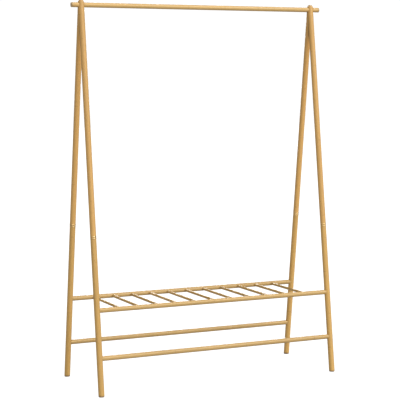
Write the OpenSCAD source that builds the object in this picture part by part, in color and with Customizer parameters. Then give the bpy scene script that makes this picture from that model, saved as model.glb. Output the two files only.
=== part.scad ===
// Free-standing clothes rack: two A-frames of round rods, one hanging rail
// through their tops, a slatted shelf near the floor and two lower rails.
// Millimetres. X runs along the rack, -Y is the front, Z is up.
// The origin is on the floor, midway between the four feet.

/* [Frame] */
// Overall height, from the floor to the rounded leg tips
rack_h = 1500; // [1350:10:1650]
// Distance between the planes of the left and right A-frames
frame_span = 1008; // [900:4:1160]
// Distance between the front and back foot centres at the floor
foot_spread = 384; // [340:4:430]
// Diameter of the leg rods
leg_d = 23; // [22:0.5:26]
// Height at which a front leg's two pieces meet
front_joint_z = 596; // [540:2:660]
// Height at which a back leg's two pieces meet
back_joint_z = 620; // [540:2:660]

/* [Hanging rail] */
// Diameter of the hanging rail
top_rail_d = 19; // [17:0.5:20]
// Length of each stub of the hanging rail, from its A-frame's plane
stub_len = 40; // [34:1:60]
// Drop from the leg tips to the hanging rail's axis
top_rail_drop = 21; // [20:0.5:26]

/* [Shelf and lower rails] */
// Diameter of the shelf rails and lower rails
rail_d = 18.5; // [17:0.5:20]
// Height of the shelf rails' axes
shelf_z = 322; // [260:2:400]
// Height of the lower rails' axes
lower_z = 142; // [100:1:200]
// Diameter of a shelf slat
slat_d = 10.5; // [7:0.5:11]
// Distance from an A-frame plane to the nearest slat's axis
slat_end_gap = 100; // [80:1:130]
// How far a slat's end is let into the rail
slat_depth = 6; // [4:0.5:7]
// Distance of the slats' axes below the rails' axes
slat_drop = 0.5; // [0:0.5:2.5]

/* [Fittings] */
// Height of the metal bands at the leg joints
band_h = 3.2; // [2:0.2:5]
// Distance from a leg joint to the near edge of each band
band_gap = 2.2; // [1.5:0.1:5]
// How far each band stands out from the rod
band_proud = 1; // [0.2:0.1:1.5]
// Height of the rubber foot pads
pad_h = 4; // [2:0.5:6]
// Diameter of the rubber foot pads
pad_d = 22; // [15:0.5:22]

/* [Hidden] */
$fn = 96;

slat_n = 11;
play = 0.05;            // radial clearance of glued and pressed fits
leg_r = leg_d / 2;
top_rail_r = top_rail_d / 2;
rail_r = rail_d / 2;
slat_r = slat_d / 2;
cross_z = rack_h - 3;   // height at which the front and back leg axes cross
lean = atan(foot_spread / 2 / cross_z);
top_rail_z = rack_h - top_rail_drop;
tip_w = (rack_h - leg_r - cross_z) / cos(lean);
slat_pitch = (frame_span - 2 * slat_end_gap) / (slat_n - 1);

waist_r = top_rail_r - 0.5;     // the rail's waist, clamped in the leg tops
waist_half = leg_r + 0.1;

stud_r = 4;             // M8 stud of a leg joint
stud_up = 26;
stud_down = 32;
insert_r = 5.5;
insert_len = 28;

bolt_r = 3;             // M6 bolt of a rail joint
bolt_head_r = 5;
bolt_head_h = 4;
counterbore = 7;
bolt_reach = 17;        // how far a bolt enters the rail
rail_insert_r = 4.5;
rail_insert_len = 20;

apex_z = top_rail_z - 28;       // screw that clamps the two leg tops
apex_r = 2;
apex_head_r = 4;

wood = [0.82, 0.64, 0.41];
wood_light = [0.86, 0.70, 0.47];
wood_dark = [0.76, 0.58, 0.36];

// height of the joint in the leg on side sy (-1 front, 1 back)
function joint_z(sy) = sy < 0 ? front_joint_z : back_joint_z;
// place along a leg's own axis of the point at height z
function along(z) = -(cross_z - z) / cos(lean);
// distance of a leg's axis from the middle plane, at height z
function leg_y(z) = foot_spread / 2 * (1 - z / cross_z);

// puts children in a leg's own frame: axis along Z, zero where the legs cross
module on_leg(sx, sy) {
    translate([sx * frame_span / 2, 0, cross_z])
        rotate([sy * lean, 0, 0])
            children();
}

// a rod with small chamfers at both ends, from z = a to z = b
module rod(r, a, b, c = 0.6) {
    translate([0, 0, a]) cylinder(r1 = r - c, r2 = r, h = c);
    translate([0, 0, a + c]) cylinder(r = r, h = b - a - 2 * c);
    translate([0, 0, b - c]) cylinder(r1 = r, r2 = r - c, h = c);
}

module ring(r_out, r_in, h) {
    difference() {
        cylinder(r = r_out, h = h);
        translate([0, 0, -1]) cylinder(r = r_in, h = h + 2);
    }
}

// along X from x = a to x = b
module x_rod(r, a, b) {
    translate([a, 0, 0]) rotate([0, 90, 0]) cylinder(r = r, h = b - a);
}

// groove for one band, at distance w along the leg
module band_groove(w) {
    translate([0, 0, w]) ring(leg_r + 2, leg_r - 1, band_h);
}

module upper_leg(sx, sy) {
    wj = along(joint_z(sy));
    difference() {
        intersection() {
            on_leg(sx, sy) union() {
                translate([0, 0, wj]) cylinder(r1 = leg_r - 0.4, r2 = leg_r, h = 0.4);
                translate([0, 0, wj + 0.4]) cylinder(r = leg_r, h = tip_w - wj - 0.4);
                translate([0, 0, tip_w]) sphere(r = leg_r);
            }
            translate([sx * frame_span / 2 - 40, sy < 0 ? -300 : 0, 400])
                cube([80, 300, rack_h]);
        }
        // half of the hole that clamps the hanging rail
        translate([sx * frame_span / 2, 0, top_rail_z])
            x_rod(waist_r + play, -40, 40);
        // clamping screw, driven from the back leg
        translate([sx * frame_span / 2, 0, apex_z]) rotate([-90, 0, 0]) {
            translate([0, 0, -12]) cylinder(r = apex_r + play, h = 40);
            translate([0, 0, 11]) cylinder(r = apex_head_r + play, h = 40);
        }
        on_leg(sx, sy) {
            band_groove(wj + band_gap);
            translate([0, 0, wj - 1]) cylinder(r = insert_r + play, h = insert_len + 1.2);
        }
    }
}

module lower_leg(sx, sy) {
    wj = along(joint_z(sy));
    difference() {
        on_leg(sx, sy) union() {
            translate([0, 0, along(-60)]) cylinder(r = leg_r, h = wj - 0.4 - along(-60));
            translate([0, 0, wj - 0.4]) cylinder(r1 = leg_r, r2 = leg_r - 0.4, h = 0.4);
        }
        // the foot is cut level with the floor, on its pad
        translate([sx * frame_span / 2 - 40, -400, -200]) cube([80, 800, 200 + pad_h]);
        on_leg(sx, sy) {
            band_groove(wj - band_gap - band_h);
            translate([0, 0, wj - stud_down - 0.5]) cylinder(r = stud_r + play, h = stud_down + 1);
        }
        for (z = [shelf_z, lower_z])
            translate([sx * frame_span / 2, sy * leg_y(z), z]) rotate([0, 0, sx > 0 ? 0 : 180]) {
                x_rod(bolt_r + play, -40, 40);
                x_rod(bolt_head_r + play, leg_r - counterbore, 40);
            }
    }
}

// rail between the two legs on side sy, its ends shaped round them
module cross_rail(sy, z) {
    difference() {
        translate([0, sy * leg_y(z), z])
            x_rod(rail_r, -frame_span / 2, frame_span / 2);
        for (sx = [-1, 1]) {
            on_leg(sx, sy) translate([0, 0, along(z) - 40]) cylinder(r = leg_r + play, h = 80);
            translate([0, sy * leg_y(z), z]) rotate([0, 0, sx > 0 ? 0 : 180])
                x_rod(rail_insert_r + play, frame_span / 2 - leg_r - rail_insert_len - 0.5, frame_span / 2);
        }
    }
}

module shelf_rail(sy) {
    difference() {
        cross_rail(sy, shelf_z);
        for (i = [0 : slat_n - 1])
            translate([slat_x(i), 0, shelf_z - slat_drop]) rotate([sy < 0 ? 90 : -90, 0, 0])
                cylinder(r = slat_r + play, h = leg_y(shelf_z) - rail_r + slat_depth);
    }
}

function slat_x(i) = -frame_span / 2 + slat_end_gap + i * slat_pitch;

module slat(i) {
    half = leg_y(shelf_z) - rail_r + slat_depth - 0.1;
    translate([slat_x(i), half, shelf_z - slat_drop]) rotate([90, 0, 0])
        rod(slat_r, 0, 2 * half, 0.5);
}

module top_rail() {
    half = frame_span / 2 + stub_len;
    inner = frame_span / 2 - waist_half;
    outer = frame_span / 2 + waist_half;
    color(wood_light) translate([0, 0, top_rail_z]) {
        x_rod(top_rail_r, -inner, inner);
        for (s = [0, 180]) rotate([0, 0, s]) {
            x_rod(waist_r, inner, outer);
            x_rod(top_rail_r, outer, half - 1.2);
            translate([half - 1.2, 0, 0]) rotate([0, 90, 0])
                cylinder(r1 = top_rail_r, r2 = top_rail_r - 1.2, h = 1.2);
        }
    }
}

module front_left_upper_leg() { color(wood) upper_leg(-1, -1); }
module front_left_lower_leg() { color(wood_dark) lower_leg(-1, -1); }
module back_left_upper_leg() { color(wood_dark) upper_leg(-1, 1); }
module back_left_lower_leg() { color(wood) lower_leg(-1, 1); }
module front_right_upper_leg() { color(wood) upper_leg(1, -1); }
module front_right_lower_leg() { color(wood_dark) lower_leg(1, -1); }
module back_right_upper_leg() { color(wood_dark) upper_leg(1, 1); }
module back_right_lower_leg() { color(wood) lower_leg(1, 1); }

module shelf_front_rail() { color(wood_light) shelf_rail(-1); }
module shelf_back_rail() { color(wood) shelf_rail(1); }
module lower_front_rail() { color(wood_light) cross_rail(-1, lower_z); }
module lower_back_rail() { color(wood) cross_rail(1, lower_z); }

module shelf_slat(i) { color(wood_dark) slat(i - 1); }

// two brass bands round each leg joint, one on each side of the meeting line
module leg_joint_bands() {
    color([0.85, 0.70, 0.42]) for (sx = [-1, 1], sy = [-1, 1], up = [0, 1]) {
        wj = along(joint_z(sy));
        on_leg(sx, sy)
            translate([0, 0, (up ? wj + band_gap : wj - band_gap - band_h) + play])
                ring(leg_r + band_proud, leg_r - 1 + play, band_h - 2 * play);
    }
}

// threaded stud that joins the two pieces of each leg
module leg_joint_studs() {
    color([0.72, 0.72, 0.74]) for (sx = [-1, 1], sy = [-1, 1])
        on_leg(sx, sy) rod(stud_r, along(joint_z(sy)) - stud_down, along(joint_z(sy)) + stud_up, 0.8);
}

// threaded sleeve set in the upper piece of each leg
module leg_joint_inserts() {
    color([0.80, 0.66, 0.38]) for (sx = [-1, 1], sy = [-1, 1])
        on_leg(sx, sy) translate([0, 0, along(joint_z(sy))])
            ring(insert_r, stud_r + play, insert_len);
}

// puts children on the axis of every rail end, +X pointing out of the rack
module at_rail_ends() {
    for (sx = [-1, 1], sy = [-1, 1], z = [shelf_z, lower_z])
        translate([sx * frame_span / 2, sy * leg_y(z), z])
            rotate([0, 0, sx > 0 ? 0 : 180]) children();
}

module rail_bolts() {
    seat = leg_r - counterbore;
    color([0.72, 0.72, 0.74]) at_rail_ends() difference() {
        union() {
            x_rod(bolt_r, -leg_r - bolt_reach, seat);
            x_rod(bolt_head_r, seat, seat + bolt_head_h);
        }
        translate([seat + 1.6, 0, 0]) rotate([0, 90, 0]) cylinder(r = 2.3, h = 5, $fn = 6);
    }
}

module rail_bolt_inserts() {
    color([0.80, 0.66, 0.38]) at_rail_ends() difference() {
        x_rod(rail_insert_r, -leg_r - rail_insert_len, -leg_r - 0.2);
        x_rod(bolt_r + play, -leg_r - rail_insert_len - 1, 0);
    }
}

// wooden plug over each bolt head, flush with the leg's round face
module bolt_cover_plugs() {
    color(wood_light) for (sx = [-1, 1], sy = [-1, 1], z = [shelf_z, lower_z]) intersection() {
        translate([sx * frame_span / 2, sy * leg_y(z), z]) rotate([0, 0, sx > 0 ? 0 : 180])
            x_rod(bolt_head_r, leg_r - counterbore + bolt_head_h + 0.1, leg_r + 5);
        on_leg(sx, sy) translate([0, 0, along(z) - 20]) cylinder(r = leg_r, h = 40);
    }
}

// screw under the hanging rail that clamps each pair of leg tops round it
module apex_screws() {
    color([0.72, 0.72, 0.74]) for (sx = [-1, 1])
        translate([sx * frame_span / 2, 0, apex_z]) rotate([-90, 0, 0]) difference() {
            union() {
                translate([0, 0, -11]) cylinder(r = apex_r, h = 22.1);
                translate([0, 0, 11]) cylinder(r = apex_head_r, h = 2.4);
            }
            translate([0, 0, 12]) cylinder(r = 1.5, h = 3, $fn = 6);
        }
}

module foot_pads() {
    color([0.56, 0.47, 0.39]) for (sx = [-1, 1], sy = [-1, 1])
        translate([sx * frame_span / 2, sy * leg_y(pad_h / 2), 0]) cylinder(d = pad_d, h = pad_h);
}

top_rail();
front_left_upper_leg();
front_left_lower_leg();
back_left_upper_leg();
back_left_lower_leg();
front_right_upper_leg();
front_right_lower_leg();
back_right_upper_leg();
back_right_lower_leg();
shelf_front_rail();
shelf_back_rail();
shelf_slat(1);  // shelf_slat_01
shelf_slat(2);  // shelf_slat_02
shelf_slat(3);  // shelf_slat_03
shelf_slat(4);  // shelf_slat_04
shelf_slat(5);  // shelf_slat_05
shelf_slat(6);  // shelf_slat_06
shelf_slat(7);  // shelf_slat_07
shelf_slat(8);  // shelf_slat_08
shelf_slat(9);  // shelf_slat_09
shelf_slat(10);  // shelf_slat_10
shelf_slat(11);  // shelf_slat_11
lower_front_rail();
lower_back_rail();
leg_joint_bands();
leg_joint_studs();
leg_joint_inserts();
rail_bolts();
rail_bolt_inserts();
bolt_cover_plugs();
apex_screws();
foot_pads();
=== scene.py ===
import math
import random

import bmesh
import bpy
from mathutils import Matrix, Vector


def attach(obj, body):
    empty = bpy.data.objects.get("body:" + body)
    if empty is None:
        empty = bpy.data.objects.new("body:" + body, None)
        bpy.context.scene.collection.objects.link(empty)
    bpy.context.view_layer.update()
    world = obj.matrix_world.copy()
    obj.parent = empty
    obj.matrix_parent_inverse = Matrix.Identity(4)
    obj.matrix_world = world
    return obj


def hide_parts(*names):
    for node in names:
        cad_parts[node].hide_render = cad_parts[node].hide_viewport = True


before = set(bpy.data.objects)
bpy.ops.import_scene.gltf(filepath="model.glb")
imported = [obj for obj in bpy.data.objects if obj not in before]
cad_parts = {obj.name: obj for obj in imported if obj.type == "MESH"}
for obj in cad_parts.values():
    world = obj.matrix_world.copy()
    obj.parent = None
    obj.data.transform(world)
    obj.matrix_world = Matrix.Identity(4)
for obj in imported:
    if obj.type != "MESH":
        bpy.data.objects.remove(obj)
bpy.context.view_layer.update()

scene = bpy.context.scene
MM = 0.001

# ---------------------------------------------------------------- dimensions
# The same design numbers as the CAD model, in millimetres.
SPAN = 504.0          # A-frame planes at x = -504 and 504
CROSS_Z = 1497.0      # where a front and a back leg axis cross
SPREAD = 192.0        # half of the foot spread
LEG_R = 11.5
TOP_Z = 1479.0
TOP_R = 9.5
WAIST_R = 9.0
WAIST_HALF = 11.6
TOP_HALF = 544.0
RAIL_R = 9.25
SHELF_Z = 322.0
LOWER_Z = 142.0
SLAT_R = 5.25
SLAT_N = 11
SLAT_X0 = -404.0
SLAT_PITCH = 80.8
SLAT_DEPTH = 6.0
SLAT_DROP = 0.5
JOINT_Z = {-1: 596.0, 1: 620.0}
BAND_H = 3.2
BAND_GAP = 2.2
BAND_PROUD = 1.0
PAD_H = 4.0
PAD_R = 11.0
BOLT_HEAD_R = 5.0
COUNTERBORE = 7.0
APEX_Z = TOP_Z - 28.0
LEAN = math.atan(SPREAD / CROSS_Z)
TIP_W = (CROSS_Z + 3.0 - LEG_R - CROSS_Z) / math.cos(LEAN)


def along(z):
    return -(CROSS_Z - z) / math.cos(LEAN)


def leg_y(z):
    return SPREAD * (1 - z / CROSS_Z)


def leg_matrix(sx, sy):
    """From a leg's own frame (axis Z, zero where the legs cross) to the row frame, in metres."""
    return Matrix.Translation((sx * SPAN * MM, 0, CROSS_Z * MM)) @ Matrix.Rotation(sy * LEAN, 4, "X")


def x_matrix(y, z, spin=0.0):
    """From a rod's own frame (axis Z) to a rod along X at that y and z."""
    return Matrix.Translation((0, y * MM, z * MM)) @ Matrix.Rotation(math.pi / 2, 4, "Y") @ Matrix.Rotation(spin, 4, "Z")


# ---------------------------------------------------------------- mesh tools
def new_object(name, verts, faces, matrix=None):
    mesh = bpy.data.meshes.new(name)
    mesh.from_pydata([Vector(v) * MM for v in verts], [], faces)
    bm = bmesh.new()
    bm.from_mesh(mesh)
    bmesh.ops.recalc_face_normals(bm, faces=bm.faces)
    bm.to_mesh(mesh)
    bm.free()
    obj = bpy.data.objects.new(name, mesh)
    scene.collection.objects.link(obj)
    if matrix is not None:
        obj.matrix_world = matrix
    return obj


def lathe_data(profile, segs):
    """Vertices and faces of a closed turned solid along Z. profile is (z, r) from one end to the other;
    an entry may also be (function of angle -> z, r), for an end that is shaped round something."""
    verts, faces, rings = [], [], []
    for z, r in profile:
        ring = []
        for i in range(segs):
            a = 2 * math.pi * i / segs
            x, y = r * math.cos(a), r * math.sin(a)
            zz = z(x, y) if callable(z) else z
            ring.append(len(verts))
            verts.append((x, y, zz))
        rings.append(ring)
    for a, b in zip(rings, rings[1:]):
        for i in range(segs):
            j = (i + 1) % segs
            faces.append((a[i], a[j], b[j], b[i]))
    for ring, (z, r), flip in ((rings[0], profile[0], True), (rings[-1], profile[-1], False)):
        centre = len(verts)
        verts.append((0, 0, z(0, 0) if callable(z) else z))
        for i in range(segs):
            j = (i + 1) % segs
            faces.append((centre, ring[j], ring[i]) if flip else (centre, ring[i], ring[j]))
    return verts, faces


def lathe(name, profile, segs=96, matrix=None):
    verts, faces = lathe_data(profile, segs)
    return new_object(name, verts, faces, matrix)


def rounded(z, r, radius, up, n=5, inner=()):
    """Profile points of a rounded outer edge at an end: from the face to the side if up is False."""
    pts = []
    for k in range(n + 1):
        t = math.pi / 2 * k / n
        dz = radius * (1 - math.sin(t))
        dr = radius * (1 - math.cos(t))
        pts.append((z - dz if up else z + dz, r - dr))
    # t = 0: on the side, dz = radius; t = 90: on the face, dr = radius
    pts = pts if up else pts[::-1]
    face = [(z, r * f) for f in (0.8, 0.5, 0.2) if r * f < r - radius]
    return pts + face if up else face[::-1] + pts


def steps(a, b, length=60.0):
    """Places between a and b, so that a long side isn't one sliver of a face."""
    n = max(1, int(round(abs(b - a) / length)))
    return [a + (b - a) * k / n for k in range(1, n)]


def bore(radius_low, radius_high, z0, z1, z2, matrix, segs=64):
    """A stepped cutter along Z: radius_low from z0 to z1, radius_high from z1 to z2."""
    return lathe("cutter", [(z0, radius_low), (z1, radius_low), (z1, radius_high), (z2, radius_high)], segs, matrix)


def cut(obj, cutters):
    for k, c in enumerate(cutters):
        if len(c.data.vertices) > 8:
            c.matrix_world = c.matrix_world @ Matrix.Rotation(math.radians(1.13 + 0.71 * k), 4, "Z")
        mod = obj.modifiers.new("cut", "BOOLEAN")
        mod.operation = "DIFFERENCE"
        mod.solver = "EXACT"
        mod.object = c
    bpy.context.view_layer.update()
    evaluated = obj.evaluated_get(bpy.context.evaluated_depsgraph_get())
    mesh = bpy.data.meshes.new_from_object(evaluated)
    obj.modifiers.clear()
    old = obj.data
    obj.data = mesh
    mesh.name = obj.name
    bpy.data.meshes.remove(old)
    for c in cutters:
        data = c.data
        bpy.data.objects.remove(c)
        bpy.data.meshes.remove(data)
    bm = bmesh.new()
    bm.from_mesh(mesh)
    bmesh.ops.remove_doubles(bm, verts=bm.verts, dist=2e-6)
    bmesh.ops.dissolve_degenerate(bm, edges=bm.edges, dist=1e-6)
    bm.to_mesh(mesh)
    bm.free()


def smooth(obj, angle=32):
    mesh = obj.data
    for p in mesh.polygons:
        p.use_smooth = True
    mesh.set_sharp_from_angle(angle=math.radians(angle))


# ---------------------------------------------------------------- node tools
class Nodes:
    """Short hand for building a node tree."""

    def __init__(self, name):
        self.mat = bpy.data.materials.new(name)
        self.mat.use_nodes = True
        self.tree = self.mat.node_tree
        self.tree.nodes.clear()
        self.out = self.tree.nodes.new("ShaderNodeOutputMaterial")
        self.bsdf = self.tree.nodes.new("ShaderNodeBsdfPrincipled")
        self.tree.links.new(self.bsdf.outputs[0], self.out.inputs["Surface"])
        self.coords = self.tree.nodes.new("ShaderNodeTexCoord").outputs["Object"]

    def link(self, value, socket):
        if isinstance(value, bpy.types.NodeSocket):
            self.tree.links.new(value, socket)
        elif value is not None:
            socket.default_value = value

    def math(self, op, a, b=None, c=None, clamp=False):
        n = self.tree.nodes.new("ShaderNodeMath")
        n.operation = op
        n.use_clamp = clamp
        for v, s in zip((a, b, c), n.inputs):
            self.link(v, s)
        return n.outputs[0]

    def mapping(self, vector, scale=(1, 1, 1), rotation=(0, 0, 0), location=(0, 0, 0)):
        n = self.tree.nodes.new("ShaderNodeMapping")
        self.link(vector, n.inputs["Vector"])
        n.inputs["Scale"].default_value = scale
        n.inputs["Rotation"].default_value = rotation
        n.inputs["Location"].default_value = location
        return n.outputs[0]

    def split(self, vector):
        n = self.tree.nodes.new("ShaderNodeSeparateXYZ")
        self.link(vector, n.inputs[0])
        return n.outputs

    def join(self, x, y, z):
        n = self.tree.nodes.new("ShaderNodeCombineXYZ")
        for v, s in zip((x, y, z), n.inputs):
            self.link(v, s)
        return n.outputs[0]

    def noise(self, vector, scale, detail=3.0, rough=0.5, distortion=0.0):
        n = self.tree.nodes.new("ShaderNodeTexNoise")
        self.link(vector, n.inputs["Vector"])
        n.inputs["Scale"].default_value = scale
        n.inputs["Detail"].default_value = detail
        n.inputs["Roughness"].default_value = rough
        n.inputs["Distortion"].default_value = distortion
        return n.outputs["Fac"]

    def voronoi(self, vector, scale, feature="F1", randomness=1.0):
        n = self.tree.nodes.new("ShaderNodeTexVoronoi")
        n.feature = feature
        self.link(vector, n.inputs["Vector"])
        n.inputs["Scale"].default_value = scale
        n.inputs["Randomness"].default_value = randomness
        return n.outputs

    def white(self, value):
        n = self.tree.nodes.new("ShaderNodeTexWhiteNoise")
        n.noise_dimensions = "1D"
        self.link(value, n.inputs["W"])
        return n.outputs["Value"]

    def ramp(self, value, low, high, to_low=0.0, to_high=1.0, smoothstep=True):
        n = self.tree.nodes.new("ShaderNodeMapRange")
        n.interpolation_type = "SMOOTHSTEP" if smoothstep else "LINEAR"
        self.link(value, n.inputs["Value"])
        n.inputs["From Min"].default_value = low
        n.inputs["From Max"].default_value = high
        n.inputs["To Min"].default_value = to_low
        n.inputs["To Max"].default_value = to_high
        return n.outputs["Result"]

    def mix(self, factor, a, b, blend="MIX"):
        n = self.tree.nodes.new("ShaderNodeMix")
        n.data_type = "RGBA"
        n.blend_type = blend
        self.link(factor, n.inputs["Factor"])
        self.link(a, n.inputs[6])
        self.link(b, n.inputs[7])
        return n.outputs[2]

    def painted_crevice_shade(self, distance, low, high):
        """Mask for painted shade: 1 deep where two pieces meet, 0 out in the open."""
        n = self.tree.nodes.new("ShaderNodeAmbientOcclusion")
        n.samples = 8
        n.inputs["Distance"].default_value = distance
        return self.ramp(n.outputs["AO"], low, high, 1.0, 0.0)

    def bump(self, height, strength, distance, normal=None):
        n = self.tree.nodes.new("ShaderNodeBump")
        self.link(height, n.inputs["Height"])
        n.inputs["Strength"].default_value = strength
        n.inputs["Distance"].default_value = distance
        if normal is not None:
            self.link(normal, n.inputs["Normal"])
        self.link(n.outputs[0], self.bsdf.inputs["Normal"])
        return n.outputs[0]


def rgb(r, g, b, tone=1.0):
    """sRGB 0..255 to a linear colour."""
    def lin(c):
        c /= 255.0
        return c / 12.92 if c <= 0.04045 else ((c + 0.055) / 1.055) ** 2.4
    return (lin(r) * tone, lin(g) * tone, lin(b) * tone, 1.0)


# ---------------------------------------------------------------- materials
def bamboo(name, seed, tone=1.0, base=(182, 142, 92), strip=5.6, tip=None, darker_ends=None, grain_x=False):
    """Turned rod of laminated bamboo: lengthwise fibres, a few layers of slightly different tone with fine glue
    lines, faint node bands staggered from layer to layer, and a thin satin lacquer. Z is the rod's length. Towards a
    rounded tip, between the two heights of tip, the cut fibres show more and more as end grain."""
    rnd = random.Random(seed)
    t = Nodes(name)
    if grain_x:
        x, y, z = t.split(t.coords)
        t.coords = t.join(z, y, x)
    spin = rnd.uniform(0, math.pi)
    shift = rnd.uniform(0, 40)
    p = t.mapping(t.coords, rotation=(0, 0, spin), location=(0, 0, shift))
    x, y, z = t.split(p)
    # the layers, told apart by where a point is across the rod
    wobble = t.math("MULTIPLY", t.math("SUBTRACT", t.noise(t.mapping(p, scale=(0, 0, 1.0)), 2.5, 1.0), 0.5), 0.0016)
    across = t.math("DIVIDE", t.math("ADD", t.math("ADD", y, wobble), rnd.uniform(0.001, 0.004)), strip * MM)
    layer = t.math("FLOOR", across)
    inside = t.math("FRACT", across)
    tone_of_layer = t.white(t.math("ADD", layer, seed * 7.31))
    # thin glue line between two layers
    edge = t.math("MINIMUM", inside, t.math("SUBTRACT", 1.0, inside))
    glue = t.ramp(edge, 0.0, 0.035, 1.0, 0.0)
    # growth nodes, about every 300 mm, at another height in each layer
    zz = t.math("ADD", t.math("DIVIDE", z, 0.31), t.math("MULTIPLY", tone_of_layer, 17.0))
    zz = t.math("ADD", zz, t.math("MULTIPLY", t.noise(t.mapping(p, scale=(260, 260, 40)), 1.0, 2.0), 0.012))
    away = t.math("ABSOLUTE", t.math("SUBTRACT", t.math("FRACT", zz), 0.5))
    node = t.ramp(away, 0.0, 0.0085, 1.0, 0.0)
    node_line = t.ramp(away, 0.0, 0.0022, 1.0, 0.0)
    # fibres: fine dashes along the rod, with broader streaks under them
    fine = t.noise(t.mapping(p, scale=(1.0, 1.0, 0.022)), 1500.0, 3.0, 0.6)
    dash = t.noise(t.mapping(p, scale=(1.0, 1.0, 0.035)), 820.0, 2.0, 0.5)
    dashes = t.ramp(dash, 0.54, 0.70)
    broad = t.noise(t.mapping(p, scale=(1.0, 1.0, 0.012)), 260.0, 2.0, 0.5)
    slow = t.noise(t.mapping(p, scale=(1.0, 1.0, 0.25)), 9.0, 2.0, 0.5)
    # colour
    amount = t.math("MULTIPLY", t.math("SUBTRACT", fine, 0.5), 0.9)
    amount = t.math("ADD", amount, t.math("MULTIPLY", dashes, 0.30))
    amount = t.math("ADD", amount, t.math("MULTIPLY", t.math("SUBTRACT", broad, 0.5), 0.8))
    amount = t.math("ADD", amount, t.math("MULTIPLY", t.math("SUBTRACT", slow, 0.5), 0.8))
    amount = t.math("ADD", amount, t.math("MULTIPLY", t.math("SUBTRACT", tone_of_layer, 0.5), 0.34))
    amount = t.math("ADD", amount, 0.30, clamp=True)
    colour = t.mix(amount, rgb(*base, tone * 1.12), rgb(*base, tone * 0.80))
    colour = t.mix(t.math("MULTIPLY", node, 0.22), colour, rgb(136, 96, 54, tone))
    colour = t.mix(t.math("MULTIPLY", node_line, 0.28), colour, rgb(104, 70, 38, tone))
    colour = t.mix(t.math("MULTIPLY", glue, 0.20), colour, rgb(116, 80, 44, tone))
    if darker_ends:
        # the last few millimetres towards each end are darker and greyer
        far = t.math("ABSOLUTE", t.split(t.coords)[2])
        far = t.math("ADD", far, t.math("MULTIPLY", t.math("SUBTRACT", t.noise(p, 420.0, 2.0), 0.5), 0.004))
        colour = t.mix(t.math("MULTIPLY", t.ramp(far, darker_ends[0], darker_ends[1]), 0.40), colour, rgb(126, 108, 80, tone))
    cut_end = None
    if tip:
        wander = t.math("MULTIPLY", t.math("SUBTRACT", t.noise(p, 320.0, 2.0), 0.5), 0.006)
        cut_end = t.ramp(t.math("ADD", t.split(t.coords)[2], wander), tip[0], tip[1])
        end_colour, end_height, _ = end_pattern(t, p, tone)
        colour = t.mix(t.math("MULTIPLY", cut_end, 0.85), colour, end_colour)
    # painted shade: darker brown where pieces meet, such as under the rails and between the legs, standing for the
    # shade there
    colour = t.mix(t.math("MULTIPLY", t.painted_crevice_shade(0.016, 0.35, 0.85), 0.6), colour, rgb(78, 52, 30, tone))
    t.link(colour, t.bsdf.inputs["Base Color"])
    # satin lacquer, a little duller over the open fibres
    roughness = t.math("ADD", t.math("MULTIPLY", fine, 0.16), 0.36)
    roughness = t.math("ADD", roughness, t.math("MULTIPLY", t.math("SUBTRACT", slow, 0.5), 0.10))
    t.link(roughness, t.bsdf.inputs["Roughness"])
    t.bsdf.inputs["Specular IOR Level"].default_value = 0.42
    t.bsdf.inputs["Coat Weight"].default_value = 0.10
    t.bsdf.inputs["Coat Roughness"].default_value = 0.28
    height = t.math("SUBTRACT", fine, t.math("MULTIPLY", dashes, 0.5))
    height = t.math("SUBTRACT", height, t.math("MULTIPLY", glue, 0.9))
    height = t.math("ADD", height, t.math("MULTIPLY", node, 0.6))
    if tip:
        height = t.math("ADD", height, t.math("MULTIPLY", t.math("SUBTRACT", end_height, height), cut_end))
    t.bump(height, 0.35, 0.00006)
    return t.mat


def end_pattern(t, p, tone):
    """Colour and height of sawn bamboo: the dots of the fibre bundles in paler ground tissue, denser to one side
    of each layer, seen along the rod."""
    x, y, z = t.split(p)
    flat = t.join(x, y, 0.0)
    across = t.math("DIVIDE", y, 5.6 * MM)
    inside = t.math("FRACT", across)
    edge = t.math("MINIMUM", inside, t.math("SUBTRACT", 1.0, inside))
    glue = t.ramp(edge, 0.0, 0.05, 1.0, 0.0)
    cell = t.voronoi(flat, 1350.0)
    size = t.ramp(inside, 0.0, 1.0, 0.26, 0.48, smoothstep=False)
    dots = t.math("LESS_THAN", cell[0], size)
    soft = t.noise(flat, 420.0, 3.0)
    ground = t.mix(soft, rgb(202, 176, 136, tone), rgb(174, 147, 108, tone))
    colour = t.mix(t.math("MULTIPLY", dots, 0.50), ground, rgb(120, 96, 68, tone))
    colour = t.mix(t.math("MULTIPLY", glue, 0.5), colour, rgb(112, 82, 52, tone))
    height = t.math("ADD", t.math("MULTIPLY", dots, -0.6), soft)
    return colour, height, soft


def end_grain(name, seed, tone=1.0):
    """A sawn rod end."""
    rnd = random.Random(seed + 500)
    t = Nodes(name)
    p = t.mapping(t.coords, rotation=(0, 0, rnd.uniform(0, math.pi)), location=(rnd.uniform(0, 1), rnd.uniform(0, 1), 0))
    colour, height, soft = end_pattern(t, p, tone)
    t.link(colour, t.bsdf.inputs["Base Color"])
    t.link(t.math("ADD", t.math("MULTIPLY", soft, 0.2), 0.55), t.bsdf.inputs["Roughness"])
    t.bsdf.inputs["Specular IOR Level"].default_value = 0.3
    t.bump(height, 0.4, 0.00012)
    return t.mat


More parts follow.
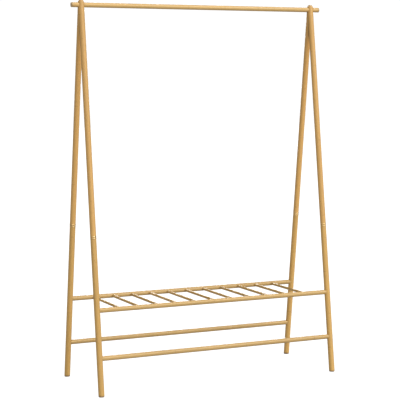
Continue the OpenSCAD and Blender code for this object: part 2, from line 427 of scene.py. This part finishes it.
def metal(name, base, dull, rough, seed, brush=(1, 1, 12), tarnish=0.35):
    """Turned metal: fine turning marks round the axis and a little uneven tarnish."""
    t = Nodes(name)
    marks = t.noise(t.mapping(t.coords, scale=brush, location=(seed, 0, 0)), 700.0, 2.0, 0.6)
    cloud = t.noise(t.mapping(t.coords, location=(0, seed, 0)), 220.0, 3.0, 0.55)
    colour = t.mix(t.math("MULTIPLY", t.ramp(cloud, 0.42, 0.75), tarnish), base, dull)
    t.link(colour, t.bsdf.inputs["Base Color"])
    t.bsdf.inputs["Metallic"].default_value = 1.0
    r = t.math("ADD", t.math("MULTIPLY", marks, 0.14), rough)
    r = t.math("ADD", r, t.math("MULTIPLY", cloud, 0.10))
    t.link(r, t.bsdf.inputs["Roughness"])
    t.bump(marks, 0.25, 0.00004)
    return t.mat


def rubber(name):
    t = Nodes(name)
    grain = t.noise(t.coords, 2600.0, 3.0, 0.6)
    dust = t.noise(t.coords, 160.0, 3.0, 0.5)
    colour = t.mix(t.ramp(dust, 0.40, 0.75), rgb(146, 123, 98), rgb(166, 144, 120))
    colour = t.mix(t.math("MULTIPLY", grain, 0.25), colour, rgb(108, 88, 68))
    t.link(colour, t.bsdf.inputs["Base Color"])
    t.link(t.math("ADD", t.math("MULTIPLY", grain, 0.2), 0.68), t.bsdf.inputs["Roughness"])
    t.bsdf.inputs["Specular IOR Level"].default_value = 0.25
    t.bump(grain, 0.5, 0.0001)
    return t.mat


END_CACHE = {}


LEG_BASE = (202, 158, 92)
LOWER_BASE = (198, 157, 90)
RAIL_BASE = (195, 159, 99)


def dress(obj, seed, tone=1.0, end_tone=1.0, strip=5.6, end_axis=True, base=RAIL_BASE, limit=0.8, tip=None, darker_ends=None):
    """Side material in slot 0, end grain in slot 1 on the faces that look along the rod."""
    obj.data.materials.clear()
    obj.data.materials.append(bamboo("bamboo_" + obj.name, seed, tone, base, strip, tip, darker_ends))
    obj.data.materials.append(end_grain("bamboo_end_" + obj.name, seed, end_tone))
    for p in obj.data.polygons:
        facing = -p.normal.z if tip else abs(p.normal.z)
        p.material_index = 1 if end_axis and facing > limit else 0


def finish_piece(obj, slot, *nodes):
    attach(obj, "root")
    if nodes:
        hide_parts(*nodes)
    return obj


# ---------------------------------------------------------------- legs
LEG_NAMES = {(-1, -1): "front_left", (-1, 1): "back_left", (1, -1): "front_right", (1, 1): "back_right"}
# painted light: a brightness per leg, raised most on the back legs, that makes up for how the light falls on each leg
LEG_PAINTED_LIGHT_TONE = {(-1, -1): 1.03, (-1, 1): 1.075, (1, -1): 1.08, (1, 1): 1.155}
SEGS = 96


def upper_leg(sx, sy, seed):
    m = leg_matrix(sx, sy)
    wj = along(JOINT_Z[sy])
    g0, g1 = wj + BAND_GAP, wj + BAND_GAP + BAND_H
    prof = [(wj, 0.3), (wj, 6.0), (wj, LEG_R - 0.45), (wj + 0.12, LEG_R - 0.14), (wj + 0.45, LEG_R)]
    prof += [(g0, LEG_R), (g0 + 0.01, LEG_R - 1), (g1 - 0.01, LEG_R - 1), (g1, LEG_R)]
    prof += [(z, LEG_R) for z in steps(g1, TIP_W)]
    for k in range(0, 25):
        a = math.pi / 2 * k / 25
        prof.append((TIP_W + LEG_R * math.sin(a), LEG_R * math.cos(a)))
    leg = lathe("part_" + LEG_NAMES[sx, sy] + "_upper_leg", prof, SEGS, m)
    # the half beyond the middle plane, less a hair for the seam
    size = 0.2
    half = new_object("cutter", [(x, y, z) for x in (-60, 60) for y in (0, 120) for z in (-160, 60)],
                      [(0, 1, 3, 2), (4, 6, 7, 5), (0, 4, 5, 1), (2, 3, 7, 6), (0, 2, 6, 4), (1, 5, 7, 3)])
    half.matrix_world = Matrix.Translation((sx * SPAN * MM, sy * 0.06 * MM, CROSS_Z * MM)) @ (
        Matrix.Identity(4) if sy < 0 else Matrix.Rotation(math.pi, 4, "Z"))
    hole = lathe("cutter", [(-40, WAIST_R + 0.05), (40, WAIST_R + 0.05)], 96,
                 Matrix.Translation((sx * SPAN * MM, 0, TOP_Z * MM)) @ Matrix.Rotation(math.pi / 2, 4, "Y"))
    screw = bore(2.05, 4.05, -12, 11, 50, Matrix.Translation((sx * SPAN * MM, 0, APEX_Z * MM)) @ Matrix.Rotation(-math.pi / 2, 4, "X"))
    insert = lathe("cutter", [(wj - 1, 5.55), (wj + 28.2, 5.55)], 64, m)
    cut(leg, [half, hole, screw, insert])
    return leg


def lower_leg(sx, sy, seed):
    m = leg_matrix(sx, sy)
    wj = along(JOINT_Z[sy])
    a = sy * LEAN

    def level(height):
        return lambda x, y: (height - CROSS_Z - y * math.sin(a)) / math.cos(a)

    g0, g1 = wj - BAND_GAP - BAND_H, wj - BAND_GAP
    start = along(PAD_H) + 8
    prof = [(level(PAD_H), 0.3), (level(PAD_H), 5.5), (level(PAD_H), LEG_R - 0.9), (level(PAD_H + 0.18), LEG_R - 0.45),
            (level(PAD_H + 0.55), LEG_R - 0.12), (level(PAD_H + 1.1), LEG_R), (start, LEG_R)]
    prof += [(z, LEG_R) for z in steps(start, g0)]
    prof += [(g0, LEG_R), (g0 + 0.01, LEG_R - 1), (g1 - 0.01, LEG_R - 1), (g1, LEG_R)]
    prof += [(wj - 0.45, LEG_R), (wj - 0.12, LEG_R - 0.14), (wj, LEG_R - 0.45), (wj, 6.0), (wj, 0.3)]
    leg = lathe("part_" + LEG_NAMES[sx, sy] + "_lower_leg", prof, SEGS, m)
    cutters = [lathe("cutter", [(wj - 32.5, 4.05), (wj + 1, 4.05)], 48, m)]
    for z in (SHELF_Z, LOWER_Z):
        out = Matrix.Translation((sx * SPAN * MM, sy * leg_y(z) * MM, z * MM)) @ Matrix.Rotation(sx * math.pi / 2, 4, "Y")
        cutters.append(bore(3.05, BOLT_HEAD_R + 0.12, -40, LEG_R - COUNTERBORE, 40, out))
    cut(leg, cutters)
    return leg


seed = 11
for (sx, sy), who in LEG_NAMES.items():
    for build, part in ((upper_leg, "upper_leg"), (lower_leg, "lower_leg")):
        leg = build(sx, sy, seed)
        dress(leg, seed, tone=LEG_PAINTED_LIGHT_TONE[sx, sy], strip=5.8, base=LEG_BASE if part == "upper_leg" else LOWER_BASE,
              tip=((TIP_W + 3.4) * MM, (TIP_W + 10.6) * MM) if part == "upper_leg" else None)
        smooth(leg)
        finish_piece(leg, "bamboo_leg", f"{who}_{part}")
        seed += 1


# ---------------------------------------------------------------- rails
def hanging_rail():
    inner, outer = SPAN - WAIST_HALF, SPAN + WAIST_HALF
    prof = rounded(-TOP_HALF, TOP_R, 1.2, False)
    prof += [(z, TOP_R) for z in steps(-TOP_HALF + 1.2, -outer, 20)]
    prof += [(-outer, TOP_R), (-outer + 0.02, WAIST_R), (-inner - 0.02, WAIST_R), (-inner, TOP_R)]
    prof += [(z, TOP_R) for z in steps(-inner, inner)]
    prof += [(inner, TOP_R), (inner + 0.02, WAIST_R), (outer - 0.02, WAIST_R), (outer, TOP_R)]
    prof += [(z, TOP_R) for z in steps(outer, TOP_HALF - 1.2, 20)]
    prof += rounded(TOP_HALF, TOP_R, 1.2, True)
    return lathe("part_top_rail", prof, SEGS, x_matrix(0, TOP_Z))


def cross_rail(name, sy, height, slats):
    y0 = sy * leg_y(height)
    # local frame: Z along +X, local x is down, local y is +Y
    def end(sign, back, r_leg=LEG_R + 0.05):
        def place(x, y):
            q = y * math.cos(LEAN) + sy * (-x) * math.sin(LEAN)
            q = max(-r_leg, min(r_leg, q))
            return sign * (SPAN - math.sqrt(r_leg * r_leg - q * q) - back)
        return place
    prof = [(end(-1, 0), 0.3), (end(-1, 0), 4.9), (end(-1, 0), RAIL_R - 0.5), (end(-1, 0.15), RAIL_R - 0.15), (end(-1, 0.5), RAIL_R)]
    a = -(SPAN - LEG_R - 6)
    prof += [(a - 2, RAIL_R)] + [(z, RAIL_R) for z in steps(a, -a, 40)] + [(-a + 2, RAIL_R)]
    prof += [(end(1, 0.5), RAIL_R), (end(1, 0.15), RAIL_R - 0.15), (end(1, 0), RAIL_R - 0.5), (end(1, 0), 4.9), (end(1, 0), 0.3)]
    rail = lathe("part_" + name, prof, SEGS, x_matrix(y0, height))
    cutters = []
    for sx in (-1, 1):
        out = Matrix.Translation((sx * SPAN * MM, y0 * MM, height * MM)) @ Matrix.Rotation(sx * math.pi / 2, 4, "Y")
        cutters.append(lathe("cutter", [(-LEG_R - 20.5, 4.55), (0, 4.55)], 48, out))
    if slats:
        for i in range(SLAT_N):
            at = Matrix.Translation(((SLAT_X0 + i * SLAT_PITCH) * MM, 0, (SHELF_Z - SLAT_DROP) * MM)) @ Matrix.Rotation(-sy * math.pi / 2, 4, "X")
            reach = leg_y(SHELF_Z) - RAIL_R + SLAT_DEPTH
            cutters.append(lathe("cutter", [(60, SLAT_R + 0.08), (reach, SLAT_R + 0.08)], 48, at))
    cut(rail, cutters)
    return rail


rail = hanging_rail()
# painted light: the top rail gets a lighter tone, and its sawn ends lighter still, standing for light falling on them
dress(rail, 31, tone=1.205, end_tone=1.3, strip=5.2, limit=0.35,
      darker_ends=((TOP_HALF - 11) * MM, (TOP_HALF - 1) * MM))
smooth(rail)
finish_piece(rail, "bamboo_rail", "top_rail")

for n, (name, sy, height, slats) in enumerate((("shelf_front_rail", -1, SHELF_Z, True), ("shelf_back_rail", 1, SHELF_Z, True),
                                               ("lower_front_rail", -1, LOWER_Z, False), ("lower_back_rail", 1, LOWER_Z, False))):
    rail = cross_rail(name, sy, height, slats)
    # painted light: the front shelf rail is made lighter and the back shelf rail darker, standing for how the light
    # falls on each
    dress(rail, 41 + n, tone=(1.03 if height > 200 else 0.98) if sy < 0 else (0.91 if height > 200 else 0.985), strip=5.0, end_axis=False)
    for p in rail.data.polygons:
        p.material_index = 1 if abs(p.normal.z) > 0.8 else 0
    smooth(rail)
    finish_piece(rail, "bamboo_rail", name)

# ---------------------------------------------------------------- slats
for i in range(SLAT_N):
    half = leg_y(SHELF_Z) - RAIL_R + SLAT_DEPTH - 0.1
    at = Matrix.Translation(((SLAT_X0 + i * SLAT_PITCH) * MM, 0, (SHELF_Z - SLAT_DROP) * MM)) @ Matrix.Rotation(math.pi / 2, 4, "X")
    prof = rounded(-half, SLAT_R, 0.5, False, 3) + [(z, SLAT_R) for z in steps(-half + 0.5, half - 0.5, 40)] + rounded(half, SLAT_R, 0.5, True, 3)
    slat = lathe(f"part_shelf_slat_{i + 1:02d}", prof, 48, at)
    dress(slat, 61 + i, tone=1.09 + 0.02 * math.sin(i * 2.3), strip=4.4, base=(199, 159, 88))
    smooth(slat)
    finish_piece(slat, "bamboo_slat", f"shelf_slat_{i + 1:02d}")

# ---------------------------------------------------------------- leg joint bands
brass = metal("brass_band", rgb(246, 216, 158), rgb(216, 178, 116), 0.16, 3, brush=(1, 1, 14))
bands = []
for (sx, sy), who in LEG_NAMES.items():
    wj = along(JOINT_Z[sy])
    for up in (0, 1):
        z0 = (wj + BAND_GAP if up else wj - BAND_GAP - BAND_H) + 0.05
        h = BAND_H - 0.1
        verts, faces, segs = [], [], 128
        section = [(0.0, LEG_R - 0.9), (0.0, LEG_R - 0.15)]
        for k in range(0, 17):  # a half-round bead
            t = math.pi * k / 16
            section.append((h * (0.5 - 0.5 * math.cos(t)), LEG_R - 0.02 + (BAND_PROUD + 0.02) * math.sin(t)))
        section += [(h, LEG_R - 0.15), (h, LEG_R - 0.9)]
        for z, r in section:
            for s in range(segs):
                a = 2 * math.pi * s / segs
                verts.append((r * math.cos(a), r * math.sin(a), z0 + z))
        n = len(section)
        for k in range(n):
            k2 = (k + 1) % n
            for s in range(segs):
                s2 = (s + 1) % segs
                faces.append((k * segs + s, k * segs + s2, k2 * segs + s2, k2 * segs + s))
        band = new_object(f"part_{who}_band_{'upper' if up else 'lower'}", verts, faces, leg_matrix(sx, sy))
        band.data.materials.append(brass)
        smooth(band, 40)
        bands.append(band)
for i, band in enumerate(bands):
    finish_piece(band, "brass_band", *(["leg_joint_bands"] if i == 0 else []))

# ---------------------------------------------------------------- bolt cover plugs
k = 0
for (sx, sy), who in LEG_NAMES.items():
    for z, where in ((SHELF_Z, "shelf"), (LOWER_Z, "lower")):
        # local frame of the plug: Z points out of the rack, x and y span its face
        out = Matrix.Translation((sx * SPAN * MM, sy * leg_y(z) * MM, z * MM)) @ Matrix.Rotation(sx * math.pi / 2, 4, "Y")
        base = LEG_R - COUNTERBORE + 4.1

        def top(back):
            def place(x, y, sx=sx, sy=sy):
                # local x is -sx * world z, local y is world y
                q = y * math.cos(LEAN) + sy * (-sx * x) * math.sin(LEAN)
                return math.sqrt(LEG_R * LEG_R - q * q) - back
            return place
        prof = [(base, 0.3), (base, 3.0), (base, BOLT_HEAD_R - 0.3), (base + 0.3, BOLT_HEAD_R)]
        prof += [(top(0.28), BOLT_HEAD_R), (top(0.08), BOLT_HEAD_R - 0.08), (top(0.0), BOLT_HEAD_R - 0.28)]
        prof += [(top(0.0), r) for r in (4.0, 3.0, 2.0, 1.0, 0.3)]
        plug = lathe(f"part_{who}_{where}_plug", prof, 64, out)
        dress(plug, 81 + k, tone=0.98, end_axis=False)
        # a plug cut across the grain: its fibres run up the leg
        mat = bamboo("bamboo_plug_" + str(k), 81 + k, LEG_PAINTED_LIGHT_TONE[sx, sy] * 0.96, LOWER_BASE, 5.8, grain_x=True)
        plug.data.materials[0] = mat
        smooth(plug)
        finish_piece(plug, "bamboo_plug", *(["bolt_cover_plugs"] if k == 0 else []))
        k += 1

# ---------------------------------------------------------------- foot pads
pad_mat = rubber("rubber_pad")
for i, ((sx, sy), who) in enumerate(LEG_NAMES.items()):
    at = Matrix.Translation((sx * SPAN * MM, sy * leg_y(PAD_H / 2) * MM, 0))
    prof = [(0.0, 0.3), (0.0, 6.0), (0.0, PAD_R - 0.9), (0.12, PAD_R - 0.45), (0.4, PAD_R - 0.12), (0.9, PAD_R),
            (PAD_H - 0.5, PAD_R), (PAD_H - 0.15, PAD_R - 0.1), (PAD_H - 0.02, PAD_R - 0.4), (PAD_H - 0.02, 5.0), (PAD_H - 0.02, 0.3)]
    pad = lathe(f"part_{who}_foot_pad", prof, 72, at)
    pad.data.materials.append(pad_mat)
    smooth(pad)
    finish_piece(pad, "rubber_pad", *(["foot_pads"] if i == 0 else []))

# ---------------------------------------------------------------- hardware kept from the CAD
steel = metal("zinc_steel", rgb(186, 190, 196), rgb(150, 152, 156), 0.26, 9, brush=(8, 8, 8), tarnish=0.5)
insert_mat = metal("brass_insert", rgb(214, 180, 112), rgb(160, 124, 72), 0.30, 5, brush=(8, 8, 8), tarnish=0.5)
for node, mat in (("leg_joint_studs", steel), ("rail_bolts", steel), ("apex_screws", steel),
                  ("leg_joint_inserts", insert_mat), ("rail_bolt_inserts", insert_mat)):
    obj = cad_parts[node]
    for s in obj.material_slots:
        s.material = mat
    if not obj.material_slots:
        obj.data.materials.append(mat)

# ---------------------------------------------------------------- camera
F_PX = 1328.65
YAW, PITCH, ROLL = math.radians(-25.3082), math.radians(-4.0175), math.radians(-0.0733)
CAM = Vector((-2278.2, -4814.9, 1212.1)) * MM
fwd = Vector((-math.sin(YAW) * math.cos(PITCH), math.cos(YAW) * math.cos(PITCH), math.sin(PITCH)))
right = Vector((math.cos(YAW), math.sin(YAW), 0))
up = right.cross(fwd)
right, up = math.cos(ROLL) * right + math.sin(ROLL) * up, -math.sin(ROLL) * right + math.cos(ROLL) * up
cam_data = bpy.data.cameras.new("camera")
cam_data.sensor_width = 36
cam_data.lens = F_PX * 36 / 400
cam_data.shift_y = -0.08
cam_data.clip_end = 100
camera = bpy.data.objects.new("camera", cam_data)
scene.collection.objects.link(camera)
rot = Matrix((right, up, -fwd)).transposed().to_4x4()
camera.matrix_world = Matrix.Translation(CAM) @ rot
scene.camera = camera

# ---------------------------------------------------------------- stage and light
floor_mat = Nodes("pale_floor")
cloud = floor_mat.noise(floor_mat.coords, 1.3, 3.0)
floor_mat.link(floor_mat.mix(cloud, rgb(180, 180, 180), rgb(176, 176, 176)), floor_mat.bsdf.inputs["Base Color"])
floor_mat.bsdf.inputs["Roughness"].default_value = 0.9
floor_mat.bsdf.inputs["Specular IOR Level"].default_value = 0.0
# the floor shows as a lit white table: paler than the light that it throws back
lit_table = floor_mat.tree.nodes.new("ShaderNodeBsdfPrincipled")
floor_mat.link(floor_mat.mix(cloud, rgb(150, 150, 150), rgb(146, 146, 146)), lit_table.inputs["Base Color"])
lit_table.inputs["Roughness"].default_value = 0.9
lit_table.inputs["Specular IOR Level"].default_value = 0.0
lit_table.inputs["Emission Color"].default_value = (1, 1, 1, 1)
lit_table.inputs["Emission Strength"].default_value = 0.90
ray = floor_mat.tree.nodes.new("ShaderNodeLightPath")
shown = floor_mat.tree.nodes.new("ShaderNodeMixShader")
floor_mat.link(ray.outputs["Is Camera Ray"], shown.inputs[0])
floor_mat.link(floor_mat.bsdf.outputs[0], shown.inputs[1])
floor_mat.link(lit_table.outputs[0], shown.inputs[2])
floor_mat.link(shown.outputs[0], floor_mat.out.inputs["Surface"])
n = 24
verts = [(x * 1000.0, y * 1000.0, 0.0) for x in range(-n, n + 1, 4) for y in range(-n, n + 1, 4)]
row = 2 * n // 4 + 1
faces = [(i * row + j, (i + 1) * row + j, (i + 1) * row + j + 1, i * row + j + 1) for i in range(row - 1) for j in range(row - 1)]
floor = new_object("floor", verts, faces)
for p in floor.data.polygons:
    if p.normal.z < 0:
        p.flip()
floor.data.materials.append(floor_mat.mat)

world = bpy.data.worlds.new("studio")
scene.world = world
world.use_nodes = True
wt = world.node_tree
wt.nodes.clear()
w_out = wt.nodes.new("ShaderNodeOutputWorld")
seen = wt.nodes.new("ShaderNodeBackground")
seen.inputs["Color"].default_value = (1, 1, 1, 1)
seen.inputs["Strength"].default_value = 1.05
lit = wt.nodes.new("ShaderNodeBackground")
lit.inputs["Color"].default_value = (1, 1, 1, 1)
lit.inputs["Strength"].default_value = 0.23
path = wt.nodes.new("ShaderNodeLightPath")
mixer = wt.nodes.new("ShaderNodeMixShader")
wt.links.new(path.outputs["Is Camera Ray"], mixer.inputs[0])
wt.links.new(lit.outputs[0], mixer.inputs[1])
wt.links.new(seen.outputs[0], mixer.inputs[2])
wt.links.new(mixer.outputs[0], w_out.inputs[0])


def sun(name, strength, angle, direction):
    """A soft distant light; direction points from the object towards the light."""
    data = bpy.data.lights.new(name, "SUN")
    data.energy = strength
    data.angle = math.radians(angle)
    obj = bpy.data.objects.new(name, data)
    scene.collection.objects.link(obj)
    obj.matrix_world = Vector(direction).to_track_quat("Z", "Y").to_matrix().to_4x4()
    return obj


flat_fwd = Vector((-math.sin(YAW), math.cos(YAW), 0))
flat_right = Vector((math.cos(YAW), math.sin(YAW), 0))


def toward(azimuth, elevation):
    """Direction at that angle to the right of the line from the object to the camera, and above it."""
    a, e = math.radians(azimuth), math.radians(elevation)
    return (-flat_fwd * math.cos(a) + flat_right * math.sin(a)) * math.cos(e) + Vector((0, 0, math.sin(e)))


sun("key", 2.21, 40, toward(60, 37))
sun("fill", 1.24, 50, toward(5, 35))
sun("back", 1.9, 30, toward(182, 8))

scene.view_settings.view_transform = "Standard"
scene.view_settings.look = "None"
scene.view_settings.exposure = 0.0
scene.view_settings.gamma = 1.0
